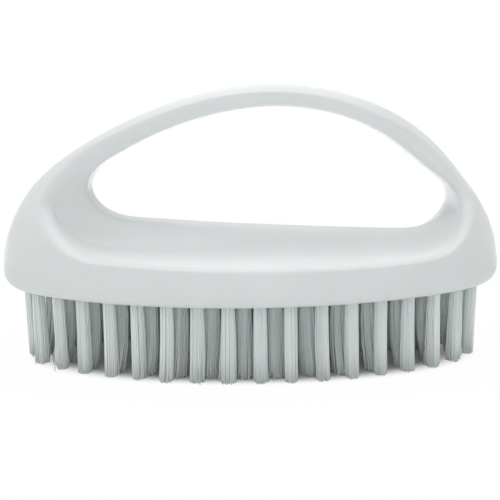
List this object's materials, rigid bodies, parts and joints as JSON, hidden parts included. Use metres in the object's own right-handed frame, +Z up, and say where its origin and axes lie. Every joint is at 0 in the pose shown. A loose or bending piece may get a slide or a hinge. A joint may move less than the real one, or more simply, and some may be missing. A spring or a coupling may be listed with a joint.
{
  "type": "nail brush",
  "caption": "Oval nail brush with an arched loop handle moulded in one with its block, a finger window through the handle, and short upright tufts underneath.",
  "frame": {"origin": "middle of the brush in plan, at the plane of the tuft tips", "axes": "+X along the brush towards the end that the crown leans to, +Y across it, +Z up through the handle"},
  "size_m": [0.095, 0.0386, 0.0516],
  "materials": {
    "body_plastic": "satin, moulded in pale grey",
    "tuft_filament": "milky nylon filament",
    "anchor_metal": "plain strip"
  },
  "bodies": {
    "root": {"brush_body": "body_plastic", "inner_row_anchors": "anchor_metal", "inner_row_tufts": "tuft_filament", "outer_ring_anchors": "anchor_metal", "outer_tuft_01": "tuft_filament", "outer_tuft_02": "tuft_filament", "outer_tuft_03": "tuft_filament", "outer_tuft_04": "tuft_filament", "outer_tuft_05": "tuft_filament", "outer_tuft_06": "tuft_filament", "outer_tuft_07": "tuft_filament", "outer_tuft_08": "tuft_filament", "outer_tuft_09": "tuft_filament", "outer_tuft_10": "tuft_filament", "outer_tuft_11": "tuft_filament", "outer_tuft_12": "tuft_filament", "outer_tuft_13": "tuft_filament", "outer_tuft_14": "tuft_filament", "outer_tuft_15": "tuft_filament", "outer_tuft_16": "tuft_filament", "outer_tuft_17": "tuft_filament", "outer_tuft_18": "tuft_filament", "outer_tuft_19": "tuft_filament", "outer_tuft_20": "tuft_filament", "outer_tuft_21": "tuft_filament", "outer_tuft_22": "tuft_filament", "outer_tuft_23": "tuft_filament", "outer_tuft_24": "tuft_filament", "outer_tuft_25": "tuft_filament", "outer_tuft_26": "tuft_filament", "outer_tuft_27": "tuft_filament", "outer_tuft_28": "tuft_filament", "outer_tuft_29": "tuft_filament", "outer_tuft_30": "tuft_filament", "outer_tuft_31": "tuft_filament", "outer_tuft_32": "tuft_filament", "outer_tuft_33": "tuft_filament", "outer_tuft_34": "tuft_filament", "outer_tuft_35": "tuft_filament", "second_ring_anchors": "anchor_metal", "second_ring_tufts": "tuft_filament"}
  },
  "joints": []
}
